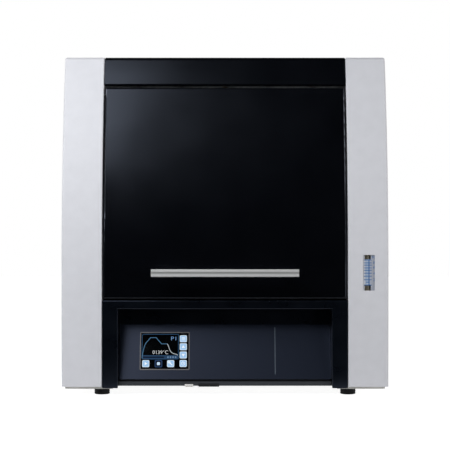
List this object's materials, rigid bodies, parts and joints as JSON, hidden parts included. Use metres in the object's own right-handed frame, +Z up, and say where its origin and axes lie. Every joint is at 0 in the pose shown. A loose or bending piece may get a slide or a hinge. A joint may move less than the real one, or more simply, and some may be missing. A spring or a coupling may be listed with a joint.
{
  "type": "dental sintering furnace",
  "caption": "Bench sintering furnace with a curved top-hinged door, an insulated heated chamber, a sloped touch panel and a small gas flow meter.",
  "frame": {"origin": "on the surface that the feet stand on, in the middle of the overall width and depth", "axes": "+Z up, -Y towards the front with the door and the panel, +X to the right seen from the front"},
  "size_m": [0.56, 0.566, 0.607],
  "materials": {
    "light_cover_paint": "satin",
    "black_paint": "satin",
    "base_paint": "satin",
    "zinc_steel": "satin",
    "black_rubber": "matte",
    "black_moulding": "satin",
    "panel_face": "satin",
    "sill_paint": "satin",
    "screen_glass": "gloss",
    "grey_trim": "satin",
    "circuit_board": "satin",
    "nickel_plate": "satin",
    "steel_fasteners": "satin",
    "handle_aluminium": "satin",
    "brass": "satin",
    "fibre_board": "matte",
    "seal_rope": "matte",
    "element_ceramic": "satin",
    "white_ceramic": "matte",
    "mill_aluminium": "satin",
    "lead_sleeve": "satin",
    "gas_hose": "satin",
    "clear_acrylic": "gloss",
    "float_glass": "gloss",
    "black_electrical": "satin",
    "rocker_plastic": "satin",
    "winding_tape": "satin",
    "terminal_ceramic": "satin"
  },
  "bodies": {
    "housing": {"left_side_cover": "light_cover_paint", "right_side_cover": "light_cover_paint", "rear_panel": "light_cover_paint", "top_cover": "black_paint", "vent_cowl": "black_paint", "base_plate": "base_paint", "frame_plates": "zinc_steel", "deck_plate": "zinc_steel", "front_header": "zinc_steel", "hot_box_casing": "zinc_steel", "hinge_brackets": "zinc_steel", "flowmeter_bracket": "zinc_steel", "fan_guard": "zinc_steel", "rubber_feet": "black_rubber", "port_plug": "black_rubber", "lower_front_bezel": "black_moulding", "control_panel": "panel_face", "front_sill": "sill_paint", "display_screen": "screen_glass", "display_frame": "grey_trim", "display_board": "circuit_board", "control_board": "circuit_board", "usb_socket": "nickel_plate", "cover_screws": "steel_fasteners", "hinge_bushes": "brass", "flowmeter_fittings": "brass", "gas_inlet": "brass", "mouth_ring": "fibre_board", "floor_insulation": "fibre_board", "roof_insulation": "fibre_board", "side_insulation": "fibre_board", "back_insulation": "fibre_board", "heating_elements": "element_ceramic", "element_holders": "white_ceramic", "hearth_plate": "white_ceramic", "exhaust_pipe": "white_ceramic", "gas_lance": "white_ceramic", "thermocouple": "white_ceramic", "element_clamps": "mill_aluminium", "element_straps": "mill_aluminium", "heat_sink": "mill_aluminium", "power_leads": "lead_sleeve", "gas_hoses": "gas_hose", "flowmeter_body": "clear_acrylic", "fan_housing": "black_electrical", "mains_inlet": "black_electrical", "solenoid_valve": "black_electrical", "power_module": "black_electrical", "transformer": "winding_tape", "terminal_blocks": "terminal_ceramic"},
    "door": {"door_skin": "black_paint", "door_liner": "zinc_steel", "door_plug": "fibre_board", "door_gasket": "seal_rope", "door_handle": "handle_aluminium", "handle_posts": "handle_aluminium", "hinge_pins": "steel_fasteners"},
    "float": {"flowmeter_float": "float_glass"},
    "rotor": {"fan_rotor": "black_electrical"},
    "rocker": {"power_rocker": "rocker_plastic"}
  },
  "joints": [
    {"name": "door_swing", "type": "hinge", "parent": "housing", "child": "door", "pos_m": [0, -0.17651, 0.5191], "axis": [-1, 0, 0], "range_deg": [0, 90]},
    {"name": "float_rise", "type": "slide", "parent": "housing", "child": "float", "axis": [0, 0, 1], "range_m": [0, 0.038]},
    {"name": "fan_spin", "type": "hinge", "parent": "housing", "child": "rotor", "pos_m": [0, 0.2475, 0.095], "axis": [0, 1, 0], "continuous": true},
    {"name": "mains_rocker", "type": "hinge", "parent": "housing", "child": "rocker", "pos_m": [0.165, 0.2474, 0.0856], "axis": [1, 0, 0], "range_deg": [0, 14]}
  ]
}
